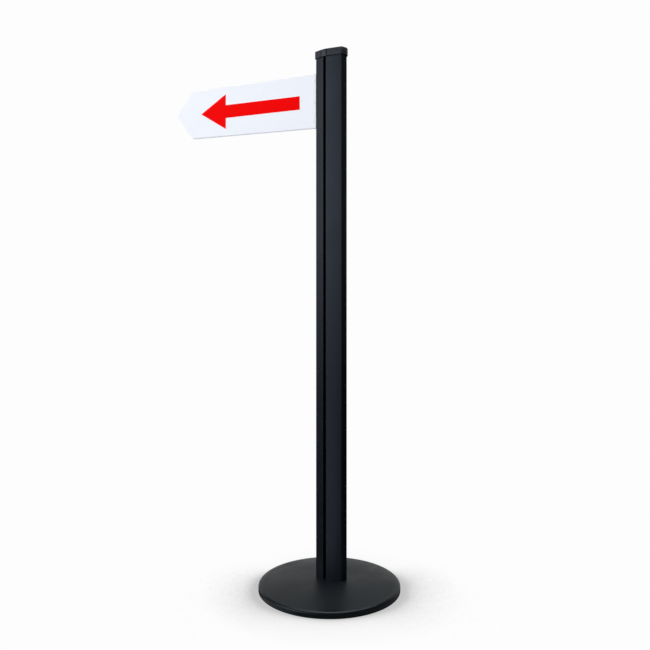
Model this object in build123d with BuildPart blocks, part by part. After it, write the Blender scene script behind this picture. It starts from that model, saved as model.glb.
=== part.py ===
"""Directional sign post: an extruded post on a weighted round base, with an arrow sign that slides in a channel.

Millimetres, +Z up. The origin is on the floor, in the middle of the round base. The sign points along -X, and
the post's wide front face looks along -Y.
"""

import os
from math import atan2, cos, degrees, hypot, radians

from build123d import *

# Heights above the floor
overall_height = 1338.6
sign_cap_gap = 36.65

# Post section: a wide face, a shoulder and a slanted cheek down to the nose, and a short slope to the tail
post_half_depth = 14.5
face_left = -2.9
face_width = 39.95
shoulder_run = 13.0
shoulder_drop = 3.0
cheek_run = 18.3
nose_half = 3.6
tail_run = 7.55
tail_half = 3.6
post_wall = 1.8
post_corner_radius = 0.7

# Channels in the post
nose_mouth = 6.0
nose_channel_depth = 10.5
shoulder_mouth = 8.2
shoulder_lip = 2.0
shoulder_pocket_width = 12.0
shoulder_pocket_depth = 6.0
shoulder_mouth_setback = 8.4
tail_mouth = 6.0
tail_lip = 3.0
tail_pocket_width = 10.0
tail_pocket_depth = 6.0

# Webs and screw ports inside the post
web_thickness = 1.8
port_bore = 4.8
port_ring = 8.6
port_inset = 10.0
shoulder_web_inset = 4.2
port_wall_offset = 3.6

# Cap
cap_height = 18.2
cap_top_wall = 5.0
cap_overhang = 2.3
cap_clearance = 0.3
cap_bevel = 1.2
cap_bottom_radius = 0.4
lug_length = 22.0
lug_depth = 10.0
lug_width = 8.6
lug_wall = 1.6

# Sign, which tapers from its rail to the shoulders of its head
sign_height = 136.0
sign_head_height = 126.5
sign_tip = -440.0
sign_head_length = 49.0
panel_thickness = 5.0
panel_edge_radius = 0.4
film_thickness = 0.3
film_margin = 1.5
arrow_thickness = 0.2
arrow_length = 286.0
arrow_head_length = 74.0
arrow_head_height = 92.0
arrow_shaft_height = 34.0
arrow_middle = -222.0

# Sign carrier
carrier_gap = 0.5
carrier_back = 2.0
clip_wall = 1.1
clip_depth = 6.0
clip_clearance = 0.1
channel_clearance = 0.3
tongue_front_gap = 0.6
tongue_back_gap = 0.9
tongue_extra = 12.0
clamp_screw_diameter = 4.0
clamp_socket = 2.0
clamp_socket_depth = 2.5
rivet_diameter = 2.4
rivet_head_diameter = 4.6
rivet_head_height = 0.7
rivet_head_taper = 30.0
rivet_count = 3
rivet_end_distance = 18.0
hole_clearance = 0.05

# Base
base_diameter = 352.0
cover_rim_height = 14.5
cover_apex = 26.0
cover_thickness = 1.6
cover_rim_radius = 6.5
cover_floor_gap = 0.4
cover_land_margin = 5.6
weight_gap = 0.4
weight_side_gap = 1.0
weight_rim_radius = 4.5
foot_pocket_margin = 9.6

# Foot plate and its fasteners
foot_plate_thickness = 6.0
plate_screw_diameter = 4.7
plate_screw_head = 8.6
plate_screw_length = 22.0
countersink_angle = 45.0
pin_diameter = 6.0
pin_reach = 20.0
pin_depth = 6.0
pin_top_gap = 0.5
bolt_diameter = 8.0
bolt_head_flats = 13.0
bolt_head_height = 4.5
bolt_socket = 5.0
bolt_socket_depth = 2.5
bolt_top_gap = 0.5
flat_washer_diameter = 24.0
flat_washer_thickness = 1.6
spring_washer_diameter = 14.0
spring_washer_thickness = 2.0
spring_washer_split = 1.5
bolt_recess_diameter = 26.0
recess_roof = 4.5
bolt_hole_clearance = 0.5
bung_gap = 0.3
bung_clearance = 0.1

# Cover fixings
cover_screw_inset = 45.0
cover_screw_count = 3
cover_screw_start = 90.0
cover_screw_diameter = 5.0
cover_screw_head_diameter = 9.0
cover_screw_head_height = 3.0
cover_screw_socket = 3.0
cover_screw_socket_depth = 1.8
cover_screw_recess = 5.0
cover_nut_flats = 8.0
cover_nut_height = 4.0
nut_pocket_diameter = 14.0
nut_pocket_gap = 1.5

# Floor ring
ring_side_inset = 9.0
ring_width = 48.0
ring_thickness = 2.0

# Heights and places worked out from the sizes above
cap_bottom = overall_height - cap_height
post_top = overall_height - cap_top_wall
post_bottom = cover_apex
plate_top = cover_apex - cover_thickness
plate_bottom = plate_top - foot_plate_thickness
recess_top = plate_bottom - recess_roof
bolt_head_top = recess_top - flat_washer_thickness - spring_washer_thickness
bolt_head_bottom = bolt_head_top - bolt_head_height
sign_bottom = cap_bottom - sign_cap_gap - sign_height
sign_middle_height = sign_bottom + sign_height / 2
base_radius = base_diameter / 2
cover_screw_circle = base_radius - cover_screw_inset
ring_outer_radius = base_radius - ring_side_inset
ring_inner_radius = ring_outer_radius - ring_width

face_right = face_left + face_width
tail_x = face_right + tail_run
cheek_x = face_left - shoulder_run
cheek_y = post_half_depth - shoulder_drop
nose_x = cheek_x - cheek_run
cheek_angle = atan2(cheek_y - nose_half, cheek_run)
shoulder_angle = atan2(shoulder_drop, shoulder_run)
nose_floor_x = nose_x + nose_channel_depth
cheek_wall_rise = post_wall / cos(cheek_angle)
nose_neck_depth = (nose_mouth / 2 - nose_half + cheek_wall_rise) * cheek_run / (cheek_y - nose_half)
mid_web_x = (face_left + face_right) / 2
rear_web_x = face_left + shoulder_web_inset
port_places = [
    (x, side * (post_half_depth - post_wall - port_wall_offset))
    for x in (face_left + port_inset, face_right - port_inset)
    for side in (-1, 1)
]
pin_places = [(-pin_reach, 0), (pin_reach, 0)]

clip_back_x = nose_x - carrier_gap
panel_slot_x = clip_back_x - carrier_back
clip_front_x = panel_slot_x - clip_depth
panel_right = panel_slot_x - clip_clearance
shoulder_x = sign_tip + sign_head_length
rivet_x = (clip_front_x + panel_slot_x) / 2
rivet_pitch = (sign_height - 2 * rivet_end_distance) / (rivet_count - 1)
panel_half = panel_thickness / 2
film_outer = panel_half + film_thickness


def post_outline():
    """The post's outer corners, once round from the nose."""
    front = [
        (nose_x, -nose_half),
        (cheek_x, -cheek_y),
        (face_left, -post_half_depth),
        (face_right, -post_half_depth),
        (tail_x, -tail_half),
    ]
    return front + [(x, -y) for x, y in reversed(front)]


def outline_sketch(plane, grow=0.0):
    """The post's outline on a plane, as a filled sketch, grown outwards by a clearance or an overhang."""
    with BuildSketch(plane) as sketch:
        with BuildLine():
            Polyline(*post_outline(), close=True)
        make_face()
        fillet(sketch.vertices(), post_corner_radius)
        if grow:
            offset(amount=grow, kind=Kind.ARC)
    return sketch.sketch


post_reach = max(hypot(x, y) for x, y in post_outline())
cover_land_radius = post_reach + cover_land_margin
foot_pocket_radius = post_reach + foot_pocket_margin


def shoulder_frame(side):
    """Where a shoulder channel opens: its mouth's middle on the shoulder, facing out. side is -1 at the front."""
    length = hypot(shoulder_run, shoulder_drop)
    along = shoulder_mouth_setback / length
    x = cheek_x + along * shoulder_run
    y = cheek_y + along * shoulder_drop
    turn = degrees(shoulder_angle)
    return Location((x, side * y, 0), (0, 0, turn if side > 0 else 180 - turn))


def dome_height(radius, inset=0.0):
    """Height of the cover at a distance from the middle, on its outside or an inset within it."""
    rise = cover_apex - cover_rim_height
    run = base_radius - inset - cover_land_radius
    bend = (run**2 + rise**2) / (2 * rise)
    return cover_apex - inset - bend + (bend**2 - (radius - cover_land_radius) ** 2) ** 0.5


def dome_section(radius, rim, apex, bottom, corner):
    """Half of a domed disc's section, with a flat land in the middle: distance from the middle, then height."""
    with BuildSketch() as section:
        with BuildLine():
            Line((0, bottom), (radius, bottom))
            Line((radius, bottom), (radius, rim))
            TangentArc((cover_land_radius, apex), (radius, rim), tangent=(1, 0))
            Line((cover_land_radius, apex), (0, apex))
            Line((0, apex), (0, bottom))
        make_face()
        fillet(section.vertices().group_by(Axis.X)[-1].sort_by(Axis.Y)[-1], corner)
    return section.sketch


def arrow_points(tip, length, head_length, head_height, tail_height):
    """An arrow that points along -X, as corners (x, z) about its own middle height."""
    head = tip + head_length
    return [
        (tip, 0),
        (head, head_height / 2),
        (head, tail_height / 2),
        (tip + length, tail_height / 2),
        (tip + length, -tail_height / 2),
        (head, -tail_height / 2),
        (head, -head_height / 2),
    ]


def panel_points(right, margin=0.0):
    """The sign's outline, as corners (x, z) about its middle height, drawn in by a margin on its free edges."""
    head_half = sign_head_height / 2
    head_slope = head_half / sign_head_length
    edge_slope = (sign_height / 2 - head_half) / (panel_right - shoulder_x)
    tip = sign_tip + margin * hypot(1, head_slope) / head_slope
    edge_at_shoulder = head_half - margin * hypot(1, edge_slope)
    head = (edge_at_shoulder - edge_slope * shoulder_x + head_slope * tip) / (head_slope - edge_slope)
    head_edge = (head - tip) * head_slope
    right_edge = edge_at_shoulder + edge_slope * (right - shoulder_x)
    return [(tip, 0), (head, head_edge), (right, right_edge), (right, -right_edge), (head, -head_edge)]


def plate_on_face(points, inner, outer, side):
    """A thin sheet with the outline given, between two distances from the sign's middle plane."""
    low, high = sorted((side * inner, side * outer))
    with BuildPart() as sheet:
        with BuildSketch(Plane.XZ.offset(-high)):
            with BuildLine():
                Polyline(*[(x, z + sign_middle_height) for x, z in points], close=True)
            make_face()
        extrude(amount=high - low)
    return sheet.part


def save(part, name):
    """Labels a finished piece and writes it."""
    part.label = name
    export_step(part, f"parts/{name}.step")


os.makedirs("parts", exist_ok=True)


# Post: outer skin, channel housings, webs and screw ports, then the channels cut out of them
with BuildSketch() as inside:
    with BuildLine():
        Polyline(*post_outline(), close=True)
    make_face()
    offset(amount=-post_wall, kind=Kind.INTERSECTION)

with BuildSketch() as housings:
    for side in (-1, 1):
        with Locations(shoulder_frame(side)):
            Rectangle(
                shoulder_pocket_width + 2 * web_thickness,
                shoulder_lip + shoulder_pocket_depth + web_thickness,
                align=(Align.CENTER, Align.MAX),
            )
    with Locations((tail_x, 0)):
        Rectangle(
            tail_lip + tail_pocket_depth + web_thickness,
            tail_pocket_width + 2 * web_thickness,
            align=(Align.MAX, Align.CENTER),
        )
    with Locations((nose_floor_x, 0)):
        Rectangle(web_thickness, 2 * post_half_depth, align=(Align.MIN, Align.CENTER))
    with Locations((mid_web_x, 0), (rear_web_x, 0)):
        Rectangle(web_thickness, 2 * post_half_depth)
    with Locations(*port_places):
        Circle(port_ring / 2)
    add(outline_sketch(Plane.XY), mode=Mode.INTERSECT)

with BuildPart() as post_profile:
    with BuildSketch(Plane.XY.offset(post_bottom)):
        add(outline_sketch(Plane.XY))
        add(inside.sketch, mode=Mode.SUBTRACT)
        add(housings.sketch)
        with Locations(*port_places):
            Circle(port_bore / 2, mode=Mode.SUBTRACT)
        for side in (-1, 1):
            with Locations(shoulder_frame(side)):
                Rectangle(
                    shoulder_mouth,
                    2 * shoulder_lip + shoulder_pocket_depth,
                    mode=Mode.SUBTRACT,
                )
            with Locations(shoulder_frame(side) * Location((0, -shoulder_lip, 0))):
                Rectangle(
                    shoulder_pocket_width,
                    shoulder_pocket_depth,
                    align=(Align.CENTER, Align.MAX),
                    mode=Mode.SUBTRACT,
                )
        with Locations((tail_x, 0)):
            Rectangle(2 * tail_lip + tail_pocket_depth, tail_mouth, mode=Mode.SUBTRACT)
        with Locations((tail_x - tail_lip, 0)):
            Rectangle(
                tail_pocket_depth,
                tail_pocket_width,
                align=(Align.MAX, Align.CENTER),
                mode=Mode.SUBTRACT,
            )
        with Locations((nose_x, 0)):
            Rectangle(2 * nose_neck_depth, nose_mouth, mode=Mode.SUBTRACT)
    extrude(amount=post_top - post_bottom)
save(post_profile.part, "post_profile")


# Cap: a socket over the post's end, a bevelled top and two hollow lugs that enter the post's chambers
lug_places = [
    ((mid_web_x + rear_web_x) / 2, 0),
    ((mid_web_x + tail_x - tail_lip - tail_pocket_depth - web_thickness) / 2, 0),
]
with BuildPart() as top_cap:
    with BuildSketch(Plane.XY.offset(cap_bottom)):
        add(outline_sketch(Plane.XY, cap_clearance + cap_overhang))
    extrude(amount=cap_height)
    chamfer(top_cap.faces().sort_by(Axis.Z)[-1].edges(), cap_bevel)
    fillet(top_cap.faces().sort_by(Axis.Z)[0].edges(), cap_bottom_radius)
    with BuildSketch(Plane.XY.offset(cap_bottom)):
        add(outline_sketch(Plane.XY, cap_clearance))
    extrude(amount=post_top - cap_bottom, mode=Mode.SUBTRACT)
    with BuildSketch(Plane.XY.offset(post_top)):
        for place in lug_places:
            with Locations(place):
                Rectangle(lug_depth, lug_width)
                Rectangle(lug_depth - 2 * lug_wall, lug_width - 2 * lug_wall, mode=Mode.SUBTRACT)
    extrude(amount=-lug_length)
save(top_cap.part, "top_cap")


# Sign board and its rail, with the rivets that join them
rivet_heights = [sign_bottom + rivet_end_distance + i * rivet_pitch for i in range(rivet_count)]
rivet_spots = [(rivet_x, z) for z in rivet_heights]

with BuildPart() as sign_panel:
    with BuildSketch(Plane.XZ.offset(-panel_half)):
        with BuildLine():
            Polyline(*[(x, z + sign_middle_height) for x, z in panel_points(panel_right)], close=True)
        make_face()
        with Locations(*rivet_spots):
            Circle(rivet_diameter / 2 + hole_clearance, mode=Mode.SUBTRACT)
    extrude(amount=panel_thickness)
    outer = sign_panel.edges().filter_by(GeomType.LINE).filter_by(Axis.Y, reverse=True)
    chamfer(outer.filter_by(lambda e: e.center().X < clip_front_x), panel_edge_radius)
save(sign_panel.part, "sign_panel")

film_points = panel_points(clip_front_x - clip_clearance, film_margin)
arrow_outline = arrow_points(
    arrow_middle - arrow_length / 2, arrow_length, arrow_head_length, arrow_head_height, arrow_shaft_height
)
for side, name in ((-1, "front"), (1, "back")):
    save(plate_on_face(film_points, panel_half, film_outer, side), f"{name}_graphic")
    arrow = plate_on_face(arrow_outline, film_outer, film_outer + arrow_thickness, side)
    save(arrow, f"{name}_arrow")

# The rail's section: a clip round the board, a neck through the channel's mouth and a flared tongue behind it
clip_half = panel_half + clip_clearance + clip_wall
neck_half = nose_mouth / 2 - channel_clearance
tongue_gap = channel_clearance / cos(cheek_angle)
tongue_front_x = nose_x + nose_neck_depth + tongue_front_gap
tongue_back_x = nose_floor_x - tongue_back_gap
flare = (cheek_y - nose_half) / cheek_run


def tongue_half(x):
    """Half the tongue's thickness at a distance along the channel."""
    return nose_half + flare * (x - nose_x) - cheek_wall_rise - tongue_gap


tongue_points = [
    (tongue_front_x, -tongue_half(tongue_front_x)),
    (tongue_back_x, -tongue_half(tongue_back_x)),
    (tongue_back_x, tongue_half(tongue_back_x)),
    (tongue_front_x, tongue_half(tongue_front_x)),
]
tongue_bottom = sign_bottom - tongue_extra
tongue_height = sign_height + 2 * tongue_extra
clamp_heights = [tongue_bottom + tongue_extra / 2, tongue_bottom + tongue_height - tongue_extra / 2]
clamp_length = tongue_back_x - tongue_front_x

with BuildPart() as sign_carrier:
    with BuildSketch(Plane.XY.offset(tongue_bottom)):
        with BuildLine():
            Polyline(*tongue_points, close=True)
        make_face()
    extrude(amount=tongue_height)
    with BuildSketch(Plane.XY.offset(sign_bottom)):
        with Locations((clip_back_x, 0)):
            Rectangle(
                clip_back_x - clip_front_x,
                2 * clip_half,
                align=(Align.MAX, Align.CENTER),
            )
            Rectangle(
                tongue_front_x - clip_back_x,
                2 * neck_half,
                align=(Align.MIN, Align.CENTER),
            )
        with Locations((clip_front_x, 0)):
            Rectangle(
                clip_depth,
                2 * (panel_half + clip_clearance),
                align=(Align.MIN, Align.CENTER),
                mode=Mode.SUBTRACT,
            )
    extrude(amount=sign_height)
    with BuildSketch(Plane.XZ.offset(-2 * clip_half)):
        with Locations(*rivet_spots):
            Circle(rivet_diameter / 2 + hole_clearance)
    extrude(amount=4 * clip_half, mode=Mode.SUBTRACT)
    with BuildSketch(Plane.YZ.offset(tongue_front_x - tongue_front_gap)):
        with Locations(*[(0, z) for z in clamp_heights]):
            Circle(clamp_screw_diameter / 2 + hole_clearance)
    extrude(amount=nose_channel_depth, mode=Mode.SUBTRACT)
save(sign_carrier.part, "sign_carrier")

with BuildPart() as carrier_rivets:
    with BuildSketch(Plane.XZ.offset(-clip_half)):
        with Locations(*rivet_spots):
            Circle(rivet_diameter / 2)
    extrude(amount=2 * clip_half)
    for side in (-1, 1):
        with BuildSketch(Plane.XZ.offset(side * clip_half)):
            with Locations(*rivet_spots):
                Circle(rivet_head_diameter / 2)
        extrude(amount=side * rivet_head_height, taper=rivet_head_taper)
save(carrier_rivets.part, "carrier_rivets")

with BuildPart() as clamp_screws:
    with BuildSketch(Plane.YZ.offset(tongue_front_x)):
        with Locations(*[(0, z) for z in clamp_heights]):
            Circle(clamp_screw_diameter / 2)
    extrude(amount=clamp_length)
    with BuildSketch(Plane.YZ.offset(tongue_front_x)):
        with Locations(*[(0, z) for z in clamp_heights]):
            RegularPolygon(clamp_socket / 2, 6, major_radius=False)
    extrude(amount=clamp_socket_depth, mode=Mode.SUBTRACT)
save(clamp_screws.part, "clamp_screws")


# Base: a cast weight, the domed cover over it and the ring under it
screw_spots = PolarLocations(cover_screw_circle, cover_screw_count, start_angle=cover_screw_start)
nut_corner = cover_nut_flats / 2 / cos(radians(30))
nut_top = dome_height(cover_screw_circle + nut_corner, cover_thickness) - hole_clearance
nut_bottom = nut_top - cover_nut_height
weight_side = base_radius - cover_thickness - weight_side_gap
weight_apex = cover_apex - cover_thickness - weight_gap
weight_rim = dome_height(weight_side, cover_thickness) - weight_gap

with BuildPart() as base_cover:
    with BuildSketch(Plane.XZ):
        add(dome_section(base_radius, cover_rim_height, cover_apex, cover_floor_gap, cover_rim_radius))
        inside_section = dome_section(
            base_radius - cover_thickness,
            cover_rim_height - cover_thickness,
            cover_apex - cover_thickness,
            cover_floor_gap,
            cover_rim_radius - cover_thickness,
        )
        add(inside_section, mode=Mode.SUBTRACT)
    revolve(axis=Axis.Z)
    with BuildSketch(Plane.XY):
        with Locations(*port_places):
            Circle(plate_screw_diameter / 2 + bolt_hole_clearance)
    extrude(amount=2 * cover_apex, mode=Mode.SUBTRACT)
save(base_cover.part, "base_cover")

with BuildPart() as base_weight:
    with BuildSketch(Plane.XZ):
        add(dome_section(weight_side, weight_rim, weight_apex, ring_thickness, weight_rim_radius))
    revolve(axis=Axis.Z)
    with BuildSketch(Plane.XY.offset(plate_bottom)):
        Circle(foot_pocket_radius)
    extrude(amount=cover_apex, mode=Mode.SUBTRACT)
    with BuildSketch(Plane.XY.offset(ring_thickness)):
        Circle(bolt_recess_diameter / 2)
    extrude(amount=recess_top - ring_thickness, mode=Mode.SUBTRACT)
    with BuildSketch(Plane.XY):
        Circle(bolt_diameter / 2 + bolt_hole_clearance)
    extrude(amount=cover_apex, mode=Mode.SUBTRACT)
    with BuildSketch(Plane.XY.offset(plate_bottom - pin_depth)):
        with Locations(*pin_places):
            Circle(pin_diameter / 2 + hole_clearance)
    extrude(amount=cover_apex, mode=Mode.SUBTRACT)
    with BuildSketch(Plane.XY):
        with screw_spots:
            Circle(cover_screw_diameter / 2 + bolt_hole_clearance)
    extrude(amount=cover_apex, mode=Mode.SUBTRACT)
    with BuildSketch(Plane.XY.offset(ring_thickness)):
        with screw_spots:
            Circle(cover_screw_head_diameter / 2 + bolt_hole_clearance)
    extrude(amount=cover_screw_recess, mode=Mode.SUBTRACT)
    with BuildSketch(Plane.XY.offset(nut_bottom - nut_pocket_gap)):
        with screw_spots:
            Circle(nut_pocket_diameter / 2)
    extrude(amount=cover_apex, mode=Mode.SUBTRACT)
save(base_weight.part, "base_weight")

with BuildPart() as floor_ring:
    with BuildSketch():
        Circle(ring_outer_radius)
        Circle(ring_inner_radius, mode=Mode.SUBTRACT)
    extrude(amount=ring_thickness)
save(floor_ring.part, "floor_ring")

with BuildPart() as cover_nuts:
    with BuildSketch(Plane.XY.offset(nut_bottom)):
        with screw_spots:
            RegularPolygon(cover_nut_flats / 2, 6, major_radius=False)
            Circle(cover_screw_diameter / 2 + hole_clearance, mode=Mode.SUBTRACT)
    extrude(amount=cover_nut_height)
save(cover_nuts.part, "cover_nuts")

cover_screw_seat = ring_thickness + cover_screw_recess
with BuildPart() as cover_screws:
    with BuildSketch(Plane.XY.offset(cover_screw_seat - cover_screw_head_height)):
        with screw_spots:
            Circle(cover_screw_head_diameter / 2)
    extrude(amount=cover_screw_head_height)
    with BuildSketch(Plane.XY.offset(cover_screw_seat - cover_screw_head_height)):
        with screw_spots:
            RegularPolygon(cover_screw_socket / 2, 6, major_radius=False)
    extrude(amount=cover_screw_socket_depth, mode=Mode.SUBTRACT)
    with BuildSketch(Plane.XY.offset(cover_screw_seat)):
        with screw_spots:
            Circle(cover_screw_diameter / 2)
    extrude(amount=nut_top - cover_screw_seat)
save(cover_screws.part, "cover_screws")


# Foot: plate on the post's end, its screws, the dowels, and the bolt stack from beneath
with BuildPart() as foot_plate:
    with BuildSketch(Plane.XY.offset(plate_bottom)):
        add(outline_sketch(Plane.XY))
        Circle(bolt_diameter / 2 + hole_clearance, mode=Mode.SUBTRACT)
        with Locations(*pin_places):
            Circle(pin_diameter / 2 + hole_clearance, mode=Mode.SUBTRACT)
        with Locations(*port_places):
            Circle(plate_screw_diameter / 2 + hole_clearance, mode=Mode.SUBTRACT)
    extrude(amount=foot_plate_thickness)
    head_depth = (plate_screw_head - plate_screw_diameter) / 2
    with BuildSketch(Plane.XY.offset(plate_bottom)):
        with Locations(*port_places):
            Circle(plate_screw_head / 2 + 2 * hole_clearance)
    extrude(amount=head_depth + hole_clearance, taper=countersink_angle, mode=Mode.SUBTRACT)
save(foot_plate.part, "foot_plate")

with BuildPart() as foot_plate_screws:
    with BuildSketch(Plane.XY.offset(plate_bottom)):
        with Locations(*port_places):
            Circle(plate_screw_head / 2)
    extrude(amount=head_depth, taper=countersink_angle)
    with BuildSketch(Plane.XY.offset(plate_bottom)):
        with Locations(*port_places):
            Circle(plate_screw_diameter / 2)
    extrude(amount=plate_screw_length)
save(foot_plate_screws.part, "foot_plate_screws")

with BuildPart() as locating_pins:
    with BuildSketch(Plane.XY.offset(plate_bottom - pin_depth)):
        with Locations(*pin_places):
            Circle(pin_diameter / 2)
    extrude(amount=pin_depth + foot_plate_thickness - pin_top_gap)
save(locating_pins.part, "locating_pins")

with BuildPart() as base_bolt:
    with BuildSketch(Plane.XY.offset(bolt_head_bottom)):
        Circle(bolt_head_flats / 2)
    extrude(amount=bolt_head_height)
    with BuildSketch(Plane.XY.offset(bolt_head_bottom)):
        RegularPolygon(bolt_socket / 2, 6, major_radius=False)
    extrude(amount=bolt_socket_depth, mode=Mode.SUBTRACT)
    with BuildSketch(Plane.XY.offset(bolt_head_top)):
        Circle(bolt_diameter / 2)
    extrude(amount=plate_top - bolt_top_gap - bolt_head_top)
save(base_bolt.part, "base_bolt")

with BuildPart() as spring_washer:
    with BuildSketch(Plane.XY.offset(bolt_head_top)):
        Circle(spring_washer_diameter / 2)
        Circle(bolt_diameter / 2 + bolt_hole_clearance, mode=Mode.SUBTRACT)
        Rectangle(
            spring_washer_diameter, spring_washer_split, align=(Align.MIN, Align.CENTER), mode=Mode.SUBTRACT
        )
    extrude(amount=spring_washer_thickness)
save(spring_washer.part, "spring_washer")

with BuildPart() as flat_washer:
    with BuildSketch(Plane.XY.offset(recess_top - flat_washer_thickness)):
        Circle(flat_washer_diameter / 2)
        Circle(bolt_diameter / 2 + bolt_hole_clearance, mode=Mode.SUBTRACT)
    extrude(amount=flat_washer_thickness)
save(flat_washer.part, "flat_washer")

with BuildPart() as bolt_bung:
    with BuildSketch():
        Circle(bolt_recess_diameter / 2 - bung_clearance)
    extrude(amount=bolt_head_bottom - bung_gap)
save(bolt_bung.part, "bolt_bung")
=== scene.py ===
"""Looks of the directional sign post: finishes, the cap's grooves, the floor, the light and the camera.

Metres, in the same frame as the solids: the origin is on the floor in the middle of the base, +Z is up,
the sign points along -X and the post's wide front face looks along -Y.
"""

import math

import bmesh
import bpy
from mathutils import Matrix, Vector


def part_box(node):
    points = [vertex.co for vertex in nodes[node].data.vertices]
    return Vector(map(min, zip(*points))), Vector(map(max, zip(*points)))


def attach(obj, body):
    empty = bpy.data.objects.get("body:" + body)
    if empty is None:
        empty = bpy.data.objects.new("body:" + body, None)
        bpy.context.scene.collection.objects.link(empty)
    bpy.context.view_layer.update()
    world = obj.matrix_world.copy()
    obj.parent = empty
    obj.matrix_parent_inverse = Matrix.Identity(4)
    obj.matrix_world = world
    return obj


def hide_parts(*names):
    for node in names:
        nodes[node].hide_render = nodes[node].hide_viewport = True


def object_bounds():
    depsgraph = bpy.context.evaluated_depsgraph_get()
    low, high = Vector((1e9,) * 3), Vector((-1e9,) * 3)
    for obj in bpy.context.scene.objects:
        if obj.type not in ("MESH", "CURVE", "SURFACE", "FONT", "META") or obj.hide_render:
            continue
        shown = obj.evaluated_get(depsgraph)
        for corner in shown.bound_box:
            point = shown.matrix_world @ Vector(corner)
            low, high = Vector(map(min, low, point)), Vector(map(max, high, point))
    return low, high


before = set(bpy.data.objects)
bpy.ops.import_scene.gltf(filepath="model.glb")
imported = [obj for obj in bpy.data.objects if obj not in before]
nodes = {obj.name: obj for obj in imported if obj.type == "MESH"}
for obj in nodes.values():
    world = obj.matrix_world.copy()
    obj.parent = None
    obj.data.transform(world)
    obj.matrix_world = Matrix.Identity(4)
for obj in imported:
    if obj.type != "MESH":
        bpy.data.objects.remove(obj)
cad_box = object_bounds()

# The photograph's camera: its width, focal length and horizon in pixels, then how it is turned and placed
PHOTO_WIDTH = 650
PHOTO_FOCAL = 687.4
PHOTO_HORIZON = 310
CAMERA_TURN = math.radians(21.0)
CAMERA_DISTANCE = 1.713
CAMERA_HEIGHT = 0.692
CAMERA_SIDESTEP = -0.01084
SENSOR_WIDTH = 36.0

# The post's shoulder and tail channels: where they open, how far the shoulders are turned from the wide
# faces, how far each channel reaches from its middle, and the depths between which painted shade turns
# it black
SHOULDER_MOUTH = (-0.00772, 0.01339)
SHOULDER_SLANT = math.atan2(3.0, 13.0)
SHOULDER_HALF = 0.0062
TAIL_X = 0.0446
TAIL_HALF = 0.0052
CHANNEL_START = 0.0002
CHANNEL_BLACK = 0.0012

# The crown of the post's wide faces: where they lie, how high it is, how many times higher it is near
# the foot, and the heights between which that changes
FACE_Y = 0.0145
FACE_SLACK = 0.0002
FACE_MIDDLE = 0.0171
FACE_HALF = 0.02
FACE_CROWN = 0.0004
FOOT_CROWN = 2.8
CROWN_HEIGHTS = (0.3, 0.75)

# The slope on the lips of the shoulder channels next to the cheeks
LIP_START = -0.0159
LIP_WIDTH = 0.004
LIP_DROP = 0.0007

# The grooves on the cap's sides: x, y and the turn from +Y towards +X of the corner that each runs down,
# how wide and deep they are, how far under the cap's top they end, and how far their cutters reach past
# its lower rim
CAP_GROOVES = ((-0.0168, 0.0140, math.radians(-18.0)), (-0.0016, 0.0171, math.radians(-2.0)))
GROOVE_WIDTH = 0.0021
GROOVE_DEPTH = 0.0011
GROOVE_TOP = 0.0013
GROOVE_RUNOUT = 0.002

# The cap's mesh: how near two corners are merged, how near to its widest side the lower rim is looked for,
# and the angle from which an edge stays sharp
MERGE_DISTANCE = 1e-6
CAP_SIDE_SLACK = 0.0006
CAP_SHARP = math.radians(25.0)

# Where painted shade darkens the grooves, out from the cap's surface and to each side of their middle
GROOVE_EDGE = -0.1 * GROOVE_DEPTH
GROOVE_DARK = -0.8 * GROOVE_DEPTH
GROOVE_END = -1.1 * GROOVE_DEPTH
GROOVE_REACH = 0.52 * GROOVE_WIDTH

# Half the thickness of the foamed core in the sign's board, and how soft its edge is
CORE_HALF = 0.0019
CORE_EDGE = 0.0001

# The polished rim of the base cover, and the floor ring's ribs
RIM_START = 0.16
RIM_FADE = 0.01
RIM_ROUGHNESS = 0.3
RIB_PITCH = 0.0032
RIB_HEIGHT = 0.0004

# The noise that mottles a finish, and how far drawn lines are stretched along Z
NOISE_DETAIL = 2.0
MOTTLE_DETAIL = 3.0
MOTTLE_RANGE = (0.3, 0.7)
LINE_STRETCH = (1.0, 1.0, 0.004)

# How white the background is, and directions in the studio: away from the camera, towards the light in
# front and its window, and towards the lighter part of the floor's reflection
BACKGROUND = 0.982
BEHIND = (-math.sin(CAMERA_TURN), math.cos(CAMERA_TURN), 0.0)
FRONT_LEFT = (-0.643, -0.766, 0.0)
WINDOW = (-0.715, -0.66, 0.23)
BOUNCE_TURN = math.radians(28.0)
BOUNCE = (-math.sin(BOUNCE_TURN), -math.cos(BOUNCE_TURN), 0.0)

# How bright the studio is from each side. A glow fades between two cosines to its direction, its reach,
# or between two heights of the direction that a ray takes
FRONT_GLOW = 1.5
FRONT_REACH = (0.72, 1.0)
FRONT_HEIGHTS = (-0.12, 0.16)
FRONT_LOW_SHARE = 0.25
SIDE_GLOW = 0.11
WINDOW_GLOW = 0.65
WINDOW_REACH = (0.93, 0.99)
OVERHEAD_GLOW = 2.2
OVERHEAD_HEIGHTS = (0.76, 0.97)
BACKDROP_GLOW = 0.375
BACKDROP_REACH = (0.3, 0.65)
BACKDROP_HEIGHTS = (0.04, 0.26)
BELOW_GLOW = 0.8
BELOW_HEIGHTS = (-0.6, -0.3)

# The two soft boxes
LAMP_SIZE = 2.5
LAMP_TARGET = (0.0, 0.0, 0.8)
KEY_PLACE = (-2.6, -3.1, 3.9)
KEY_POWER = 164.0
BACK_PLACE = (2.0, 3.6, 3.4)
BACK_POWER = 160.0

# The floor, and the radius inside which light comes up through it
FLOOR_LEVEL = -0.0003
FLOOR_HALF = 30.0
FLOOR_COLOUR = 0.5
CLEAR_RADIUS = 0.165
CLEAR_EDGE = 0.002

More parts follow.
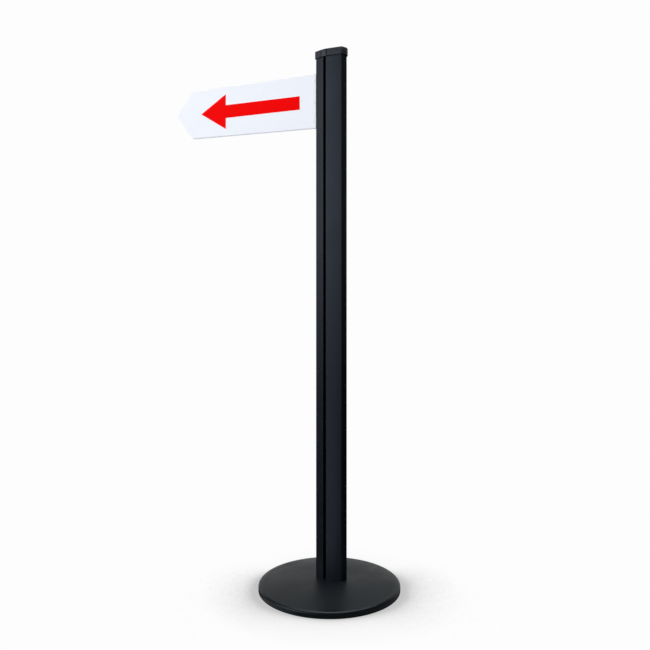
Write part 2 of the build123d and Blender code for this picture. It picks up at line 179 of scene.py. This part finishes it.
# The contact shadow: how far off the object darkens the floor, how fast and how much, and the share of
# that in front of the base and behind it, with the cosines to BEHIND between which it changes
SHADOW_REACH = 0.3
SHADOW_SAMPLES = 16
SHADOW_RATE = 13.5
SHADOW_DEPTH = 0.44
SHADOW_FRONT = 0.14
SHADOW_FRONT_REACH = (-1.0, -0.3)
SHADOW_BACK = 0.06
SHADOW_BACK_REACH = (0.05, 0.7)

# The floor's colour in reflections, a painted pool of light: near and far in the direction of BOUNCE, the
# share of it elsewhere, and a ring round the base that is darker towards FRONT_LEFT
BOUNCE_REACH = (0.88, 0.99)
BOUNCE_LEAST = 0.01
BOUNCE_FADE = (0.5, 3.0)
BOUNCE_NEAR = 0.33
BOUNCE_FAR = 0.17
RING_FADE = (0.2, 0.32)
RING_REACH = (-0.5, 0.4)
RING_RIGHT = 0.12
RING_LEFT = 0.075


class Nodes:
    """A node tree with short ways to add and join nodes."""

    def __init__(self, tree):
        self.tree = tree
        tree.nodes.clear()

    def join(self, value, socket):
        """Links an output to a socket, or sets the socket to a plain value."""
        if isinstance(value, bpy.types.NodeSocket):
            self.tree.links.new(value, socket)
        else:
            socket.default_value = value

    def add(self, kind, inputs=None, **settings):
        """Adds a node, sets its properties, and sets or links its inputs."""
        made = self.tree.nodes.new(f"ShaderNode{kind}")
        for key, value in settings.items():
            setattr(made, key, value)
        for key, value in (inputs or {}).items():
            self.join(value, made.inputs[key])
        return made

    def math(self, operation, first, second=0.0, clamp=False):
        """The result of an operation on two values."""
        made = self.add("Math", {0: first, 1: second}, operation=operation, use_clamp=clamp)
        return made.outputs[0]

    def plus(self, first, second):
        """The sum of two values."""
        return self.math("ADD", first, second)

    def minus(self, first, second):
        """The first value less the second."""
        return self.math("SUBTRACT", first, second)

    def times(self, first, second):
        """The product of two values."""
        return self.math("MULTIPLY", first, second)

    def larger(self, first, second):
        """The larger of two values."""
        return self.math("MAXIMUM", first, second)

    def size(self, value):
        """A value without its sign."""
        return self.math("ABSOLUTE", value)

    def ramp(self, value, low, high, start=0.0, end=1.0):
        """A value that turns smoothly from start to end between low and high."""
        made = self.add(
            "MapRange",
            {"Value": value, "From Min": low, "From Max": high, "To Min": start, "To Max": end},
            interpolation_type="SMOOTHSTEP",
        )
        return made.outputs[0]

    def mix(self, factor, first, second):
        """A value between two values."""
        return self.add("Mix", {0: factor, 2: first, 3: second}).outputs[0]

    def mix_colour(self, factor, first, second):
        """A colour between two colours."""
        return self.add("Mix", {0: factor, 6: first, 7: second}, data_type="RGBA").outputs[2]

    def dot(self, vector, direction):
        """How far a vector points along a direction."""
        made = self.add("VectorMath", {0: vector, 1: direction}, operation="DOT_PRODUCT")
        return made.outputs["Value"]

    def length(self, vector):
        """How long a vector is."""
        return self.add("VectorMath", {0: vector}, operation="LENGTH").outputs["Value"]

    def place(self):
        """The X, Y and Z of a place in the object's own metres."""
        made = self.add("SeparateXYZ", {0: self.add("TexCoord").outputs["Object"]})
        return made.outputs["X"], made.outputs["Y"], made.outputs["Z"]

    def noise(self, scale, detail=NOISE_DETAIL, stretch=(1.0, 1.0, 1.0)):
        """Noise in the object's own metres, drawn out along an axis where stretch is under 1."""
        place = self.add("TexCoord").outputs["Object"]
        mapped = self.add("Mapping", {"Vector": place, "Scale": stretch}).outputs[0]
        made = self.add("TexNoise", {"Vector": mapped, "Scale": scale, "Detail": detail})
        return made.outputs[0]

    def bump(self, height, distance, normal=None):
        """The direction of a surface with a bump, laid over another bump where normal is given."""
        made = self.add("Bump", {"Height": height, "Distance": distance, "Strength": 1.0})
        if normal:
            self.join(normal, made.inputs["Normal"])
        return made.outputs[0]

    def shows_white(self):
        """1 for rays that show the white background: the camera's, and those through something clear."""
        ray = self.add("LightPath")
        return self.larger(ray.outputs["Is Camera Ray"], ray.outputs["Is Transmission Ray"])

    def from_face(self, x, y, middle, turn):
        """How far a place lies out from a face, and to either side of the face's middle.

        The face is upright and is turned from +Y towards +X.
        """
        sine, cosine = math.sin(turn), math.cos(turn)
        out = self.plus(self.times(x, sine), self.times(y, cosine))
        out = self.minus(out, middle[0] * sine + middle[1] * cosine)
        along = self.minus(self.times(x, cosine), self.times(y, sine))
        along = self.minus(along, middle[0] * cosine - middle[1] * sine)
        return out, self.size(along)


def rgba(red, green, blue):
    """A colour with full alpha."""
    return (red, green, blue, 1.0)


def channel_painted_shade(tree):
    """Painted shade in the shoulder and tail channels, by how deep a place lies: 0 at their mouths, 1 well
    inside.
    """
    x, y, _ = tree.place()
    y = tree.size(y)
    out, aside = tree.from_face(x, y, SHOULDER_MOUTH, -SHOULDER_SLANT)
    shoulder = tree.ramp(out, -CHANNEL_START, -CHANNEL_BLACK)
    shoulder = tree.times(shoulder, tree.math("LESS_THAN", aside, SHOULDER_HALF))
    tail = tree.ramp(x, TAIL_X - CHANNEL_START, TAIL_X - CHANNEL_BLACK)
    tail = tree.times(tail, tree.math("LESS_THAN", y, TAIL_HALF))
    return tree.larger(shoulder, tail)


def post_relief(tree):
    """Height of the crown of the post's wide faces and of its lips' slope, in units of FACE_CROWN."""
    x, y, z = tree.place()
    wide = tree.math("GREATER_THAN", tree.size(y), FACE_Y - FACE_SLACK)
    across = tree.times(tree.minus(x, FACE_MIDDLE), 1 / FACE_HALF)
    drop = tree.times(wide, tree.ramp(z, *CROWN_HEIGHTS, -FOOT_CROWN, -1.0))
    crown = tree.times(tree.times(across, across), drop)
    lip = tree.math("MULTIPLY", tree.minus(x, LIP_START), 1 / LIP_WIDTH, clamp=True)
    return tree.plus(crown, tree.times(lip, LIP_DROP / FACE_CROWN))


def cap_groove_painted_shade(tree):
    """Painted shade in the cap's upright grooves: 1 in them, 0 elsewhere."""
    x, y, z = tree.place()
    y = tree.size(y)
    found = 0.0
    for x_middle, y_middle, turn in CAP_GROOVES:
        out, aside = tree.from_face(x, y, (x_middle, y_middle), turn)
        sunk = tree.ramp(out, GROOVE_DARK, GROOVE_EDGE, 1.0, 0.0)
        sunk = tree.times(sunk, tree.math("GREATER_THAN", out, GROOVE_END))
        sunk = tree.times(sunk, tree.math("LESS_THAN", aside, GROOVE_REACH))
        found = tree.larger(found, sunk)
    lower = tree.math("LESS_THAN", z, cad_box[1][2] - GROOVE_TOP)
    return tree.times(found, lower)


def board_core(tree):
    """Where the sign's board shows its foamed core: 1 on its cut edges, 0 on its two skins."""
    _, y, _ = tree.place()
    return tree.ramp(tree.size(y), CORE_HALF - CORE_EDGE, CORE_HALF + CORE_EDGE, 1.0, 0.0)


def cover_rim(tree):
    """Where the base cover is more polished: 1 on its rim, 0 on its top."""
    x, y, _ = tree.place()
    away = tree.length(tree.add("CombineXYZ", {0: x, 1: y}).outputs[0])
    return tree.ramp(away, RIM_START, RIM_START + RIM_FADE)


def ring_ribs(tree):
    """Height of the fine ribs that run round the floor ring."""
    away = tree.length(tree.add("TexCoord").outputs["Object"])
    return tree.math("SINE", tree.times(away, 2 * math.pi / RIB_PITCH))


def finish(
    name, colour, roughness, grain=None, drift=(30.0, 0.1), cloud=0.08, streak=None, relief=None,
    painted_shade_and_core=None, polish=None, **sockets
):
    """A finish with mottled colour and roughness.

    drift is (scale, share of the colour) of the mottling, and cloud is the share of the roughness in it.
    grain is (scale, height) of fine bumps, streak is (scale, height) of drawn lines along Z, and relief
    is (form, height) of a larger form. painted_shade_and_core is (mask, colour) of places with another
    colour:
    painted shade in the post's channels and the cap's grooves, and the foamed core's own tone on the
    board's cut edges. polish is (mask, roughness) of places with another roughness. The other names are
    the shader's own sockets.
    """
    material = bpy.data.materials.new(name)
    material.use_nodes = True
    tree = Nodes(material.node_tree)
    scale, share = drift
    mottle = tree.noise(scale, MOTTLE_DETAIL)
    dark = [part * (1 - share) for part in colour]
    light = [min(1.0, part * (1 + share)) for part in colour]
    tint = tree.mix_colour(mottle, rgba(*dark), rgba(*light))
    rough = tree.ramp(mottle, *MOTTLE_RANGE, roughness * (1 - cloud), min(1.0, roughness * (1 + cloud)))
    # Painted shade in the post's channels and the cap's grooves, and the foamed core's own tone on the
    # board's cut edges
    if painted_shade_and_core:
        mask, painted_shade_and_core_colour = painted_shade_and_core
        tint = tree.mix_colour(mask(tree), tint, rgba(*painted_shade_and_core_colour))
    if polish:
        mask, polished = polish
        rough = tree.mix(mask(tree), rough, polished)
    normal = None
    if grain:
        normal = tree.bump(tree.noise(grain[0]), grain[1])
    if streak:
        normal = tree.bump(tree.noise(streak[0], stretch=LINE_STRETCH), streak[1], normal)
    if relief:
        normal = tree.bump(relief[0](tree), relief[1], normal)
    shader = tree.add("BsdfPrincipled", {"Base Color": tint, "Roughness": rough})
    if normal:
        tree.join(normal, shader.inputs["Normal"])
    for key, value in sockets.items():
        shader.inputs[key.replace("_", " ")].default_value = value
    tree.add("OutputMaterial", {0: shader.outputs[0]})
    return material


def paint(material, *names):
    """Gives CAD nodes a finish."""
    for name in names:
        mesh = nodes[name].data
        mesh.materials.clear()
        mesh.materials.append(material)


def paint_all():
    """Gives every CAD node its finish."""
    post_black = finish(
        "post_black", (0.0022, 0.0035, 0.006), 0.36, grain=(900.0, 0.00002), drift=(14.0, 0.12),
        streak=(700.0, 0.00001), relief=(post_relief, FACE_CROWN),
        # Painted shade: the insides of the channels are painted near black
        painted_shade_and_core=(channel_painted_shade, (0.0002, 0.0002, 0.0003)),
        Specular_Tint=(0.69, 0.79, 1.0, 1.0), Specular_IOR_Level=0.6,
    )
    cap_black = finish(
        "cap_black", (0.013, 0.0165, 0.022), 0.4, grain=(2500.0, 0.00003),
        # Painted shade: the insides of the cap's grooves are painted darker
        painted_shade_and_core=(cap_groove_painted_shade, (0.004, 0.005, 0.007)),
        Specular_Tint=(0.8, 0.89, 1.0, 1.0), Specular_IOR_Level=0.6,
    )
    board_white = finish(
        "board_white", (0.84, 0.87, 0.94), 0.6, grain=(1500.0, 0.00006), drift=(60.0, 0.02),
        painted_shade_and_core=(board_core, (0.8, 0.86, 0.98)),
    )
    film_white = finish(
        "film_white", (0.86, 0.893, 0.965), 0.38, grain=(40.0, 0.0001), drift=(18.0, 0.012),
        Specular_IOR_Level=0.25,
    )
    arrow_red = finish(
        "arrow_red", (0.88, 0.0004, 0.0004), 0.42, grain=(60.0, 0.00005), drift=(25.0, 0.03),
        Specular_IOR_Level=0.04,
    )
    rail_white = finish(
        "rail_white", (0.84, 0.86, 0.91), 0.4, grain=(900.0, 0.00002), drift=(20.0, 0.02)
    )
    rivet_white = finish("rivet_white", (0.82, 0.84, 0.88), 0.35, drift=(200.0, 0.03))
    grub_black = finish("grub_black", (0.05, 0.05, 0.052), 0.4, Metallic=1.0)
    plate_zinc = finish("plate_zinc", (0.55, 0.56, 0.57), 0.38, grain=(400.0, 0.00002), Metallic=1.0)
    screw_zinc = finish("screw_zinc", (0.52, 0.53, 0.55), 0.32, grain=(900.0, 0.00001), Metallic=1.0)
    weight_iron = finish(
        "weight_iron", (0.05, 0.05, 0.052), 0.62, grain=(260.0, 0.0006), drift=(40.0, 0.4), Metallic=0.6
    )
    cover_black = finish(
        "cover_black", (0.003, 0.0042, 0.0055), 0.43, grain=(1300.0, 0.00005), drift=(11.0, 0.2),
        cloud=0.14, polish=(cover_rim, RIM_ROUGHNESS),
        Specular_Tint=(0.8, 0.92, 1.0, 1.0), Specular_IOR_Level=0.42,
    )
    rubber_black = finish(
        "rubber_black", (0.02, 0.02, 0.02), 0.8, grain=(800.0, 0.00005), relief=(ring_ribs, RIB_HEIGHT)
    )
    paint(post_black, "post_profile")
    paint(cap_black, "top_cap")
    paint(board_white, "sign_panel")
    paint(film_white, "front_graphic", "back_graphic")
    paint(arrow_red, "front_arrow", "back_arrow")
    paint(rail_white, "sign_carrier")
    paint(rivet_white, "carrier_rivets")
    paint(grub_black, "clamp_screws")
    paint(plate_zinc, "foot_plate")
    paint(
        screw_zinc, "foot_plate_screws", "locating_pins", "base_bolt", "spring_washer", "flat_washer",
        "cover_nuts", "cover_screws",
    )
    paint(weight_iron, "base_weight")
    paint(cover_black, "base_cover")
    paint(rubber_black, "bolt_bung", "floor_ring")


def add_object(name, data):
    """A new object in the scene."""
    made = bpy.data.objects.new(name, data)
    bpy.context.scene.collection.objects.link(made)
    return made


def mesh_from(name, made):
    """A mesh from a finished bmesh."""
    mesh = bpy.data.meshes.new(name)
    made.to_mesh(mesh)
    made.free()
    return mesh


def cap_rim_bottom(mesh):
    """Height of the cap's lower rim: the lowest place on its outermost surface."""
    widest = max(abs(v.co.y) for v in mesh.vertices)
    return min(v.co.z for v in mesh.vertices if abs(v.co.y) > widest - CAP_SIDE_SLACK)


def groove_cutters(bottom, top):
    """Upright bars along the corners of the cap, which cut its grooves."""
    bars = bmesh.new()
    height = top - bottom
    size = Matrix.Diagonal((GROOVE_WIDTH, 2 * GROOVE_DEPTH, height, 1.0))
    for x, y, turn in CAP_GROOVES:
        for side in (-1, 1):
            place = Matrix.Translation((x, side * y, bottom + height / 2))
            turned = Matrix.Rotation(-side * turn, 4, "Z")
            bmesh.ops.create_cube(bars, size=1.0, matrix=place @ turned @ size)
    return mesh_from("cap_cutters", bars)


def make_cap():
    """The moulded cap, with a fine upright groove at each end of its two shoulder facets."""
    cap_mesh = nodes["top_cap"].data
    solid = bmesh.new()
    solid.from_mesh(cap_mesh)
    bmesh.ops.remove_doubles(solid, verts=solid.verts, dist=MERGE_DISTANCE)
    piece = add_object("cap_moulding", mesh_from("cap_moulding", solid))
    bottom = cap_rim_bottom(cap_mesh) - GROOVE_RUNOUT
    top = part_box("top_cap")[1][2] - GROOVE_TOP
    cutter = add_object("cap_cutters", groove_cutters(bottom, top))
    cut = piece.modifiers.new("grooves", "BOOLEAN")
    cut.object = cutter
    cut.operation = "DIFFERENCE"
    cut.solver = "EXACT"
    shown = piece.evaluated_get(bpy.context.evaluated_depsgraph_get())
    grooved = bpy.data.meshes.new_from_object(shown)
    piece.modifiers.clear()
    piece.data = grooved
    bpy.data.objects.remove(cutter)
    grooved.shade_smooth()
    grooved.set_sharp_from_angle(angle=CAP_SHARP)
    grooved.materials.clear()
    grooved.materials.append(cap_mesh.materials[0])
    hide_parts("top_cap")
    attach(piece, "cap")


def make_camera():
    """The photograph's camera: level, turned a little to the post's right."""
    data = bpy.data.cameras.new("camera")
    data.sensor_width = SENSOR_WIDTH
    data.lens = PHOTO_FOCAL / PHOTO_WIDTH * SENSOR_WIDTH
    data.shift_y = (PHOTO_HORIZON - PHOTO_WIDTH / 2) / PHOTO_WIDTH
    away = (math.sin(CAMERA_TURN), -math.cos(CAMERA_TURN))
    aside = (math.cos(CAMERA_TURN), math.sin(CAMERA_TURN))
    camera = add_object("camera", data)
    camera.location = (
        CAMERA_DISTANCE * away[0] + CAMERA_SIDESTEP * aside[0],
        CAMERA_DISTANCE * away[1] + CAMERA_SIDESTEP * aside[1],
        CAMERA_HEIGHT,
    )
    camera.rotation_euler = (math.pi / 2, 0, CAMERA_TURN)
    bpy.context.scene.camera = camera


def make_world():
    """A white background, and for other rays a soft studio.

    The studio is bright in front to the left, overhead and straight below, white low behind the object,
    dimmer above that, and dark at its sides.
    """
    world = bpy.data.worlds.new("studio")
    bpy.context.scene.world = world
    world.use_nodes = True
    tree = Nodes(world.node_tree)
    direction = tree.add("TexCoord").outputs["Generated"]
    height = tree.add("SeparateXYZ", {0: direction}).outputs["Z"]
    front = tree.ramp(tree.dot(direction, FRONT_LEFT), *FRONT_REACH, SIDE_GLOW, FRONT_GLOW)
    window = tree.ramp(tree.dot(direction, WINDOW), *WINDOW_REACH, 0.0, WINDOW_GLOW)
    lower = tree.ramp(height, *FRONT_HEIGHTS, FRONT_LOW_SHARE, 1.0)
    front = tree.times(tree.plus(front, window), lower)
    overhead = tree.ramp(height, *OVERHEAD_HEIGHTS, 0.0, OVERHEAD_GLOW)
    backdrop = tree.ramp(tree.dot(direction, BEHIND), *BACKDROP_REACH)
    backdrop = tree.times(backdrop, tree.ramp(height, *BACKDROP_HEIGHTS, BACKGROUND, BACKDROP_GLOW))
    below = tree.ramp(height, *BELOW_HEIGHTS, BELOW_GLOW, 0.0)
    glow = tree.larger(tree.larger(front, overhead), tree.larger(backdrop, below))
    strength = tree.mix(tree.shows_white(), glow, BACKGROUND)
    shader = tree.add("Background", {"Color": rgba(1, 1, 1), "Strength": strength})
    tree.add("OutputWorld", {0: shader.outputs[0]})


def make_lamp(name, place, power):
    """A square soft box that looks at the middle of the post."""
    data = bpy.data.lights.new(name, "AREA")
    data.shape = "SQUARE"
    data.size = LAMP_SIZE
    data.energy = power
    lamp = add_object(name, data)
    lamp.location = place
    lamp.visible_glossy = False
    lamp.rotation_euler = (Vector(LAMP_TARGET) - Vector(place)).to_track_quat("-Z", "Y").to_euler()


def floor_shadow(tree, outward):
    """How much of its white the floor keeps beside the object, in every direction from the base."""
    sky = tree.add("AmbientOcclusion", {"Distance": SHADOW_REACH}, samples=SHADOW_SAMPLES)
    closed = tree.minus(1.0, sky.outputs["AO"])
    turned = tree.dot(outward, BEHIND)
    front = tree.ramp(turned, *SHADOW_FRONT_REACH, SHADOW_FRONT, 1.0)
    back = tree.ramp(turned, *SHADOW_BACK_REACH, 1.0, SHADOW_BACK)
    rate = tree.times(tree.times(front, back), -SHADOW_RATE / SHADOW_DEPTH)
    kept = tree.math("EXPONENT", tree.times(closed, rate))
    return tree.plus(1.0 - SHADOW_DEPTH, tree.times(kept, SHADOW_DEPTH))


def floor_painted_reflection(tree, away, outward):
    """The floor's colour in reflections, which is painted light: lighter near the base towards BOUNCE and
    in a ring round it, dark elsewhere.
    """
    bounce = tree.ramp(tree.dot(outward, BOUNCE), *BOUNCE_REACH, BOUNCE_LEAST, 1.0)
    bounce = tree.times(bounce, tree.ramp(away, *BOUNCE_FADE, BOUNCE_NEAR, BOUNCE_FAR))
    ring = tree.ramp(tree.dot(outward, FRONT_LEFT), *RING_REACH, RING_RIGHT, RING_LEFT)
    ring = tree.times(tree.ramp(away, *RING_FADE, 1.0, 0.0), ring)
    return tree.larger(bounce, ring)


def make_floor():
    """A pale floor that keeps the object's soft contact shadow and melts into the white background.

    It is clear from beneath, and light comes up through it inside the base's rim, so that the underside
    can be seen.
    """
    mesh = bpy.data.meshes.new("floor")
    signs = ((-1, -1), (1, -1), (1, 1), (-1, 1))
    corners = [(x * FLOOR_HALF, y * FLOOR_HALF, FLOOR_LEVEL) for x, y in signs]
    mesh.from_pydata(corners, [], [(0, 1, 2, 3)])
    material = bpy.data.materials.new("floor")
    material.use_nodes = True
    tree = Nodes(material.node_tree)
    surface = tree.add("NewGeometry")
    place = surface.outputs["Position"]
    away = tree.length(place)
    outward = tree.add("VectorMath", {0: place}, operation="NORMALIZE").outputs["Vector"]
    shows_white = tree.shows_white()
    white = tree.times(floor_shadow(tree, outward), BACKGROUND)
    pale = tree.add("Emission", {"Color": rgba(1, 1, 1), "Strength": white})
    in_gloss = tree.add("LightPath").outputs["Is Glossy Ray"]
    # In reflections the floor shows painted light, a lighter patch and ring near the base; other rays see
    # FLOOR_COLOUR
    colour = tree.mix(in_gloss, FLOOR_COLOUR, floor_painted_reflection(tree, away, outward))
    lit = tree.add("BsdfDiffuse", {"Color": colour})
    sheet = tree.add("MixShader", {0: shows_white, 1: lit.outputs[0], 2: pale.outputs[0]})
    inside = tree.ramp(away, CLEAR_RADIUS, CLEAR_RADIUS + CLEAR_EDGE, 1.0, 0.0)
    clear = tree.mix(shows_white, inside, surface.outputs["Backfacing"])
    nothing = tree.add("BsdfTransparent")
    both = tree.add("MixShader", {0: clear, 1: sheet.outputs[0], 2: nothing.outputs[0]})
    tree.add("OutputMaterial", {0: both.outputs[0]})
    mesh.materials.append(material)
    add_object("floor", mesh)


paint_all()
make_cap()
make_camera()
make_world()
make_floor()
make_lamp("key", KEY_PLACE, KEY_POWER)
make_lamp("back", BACK_PLACE, BACK_POWER)

bpy.context.scene.view_settings.view_transform = "Standard"
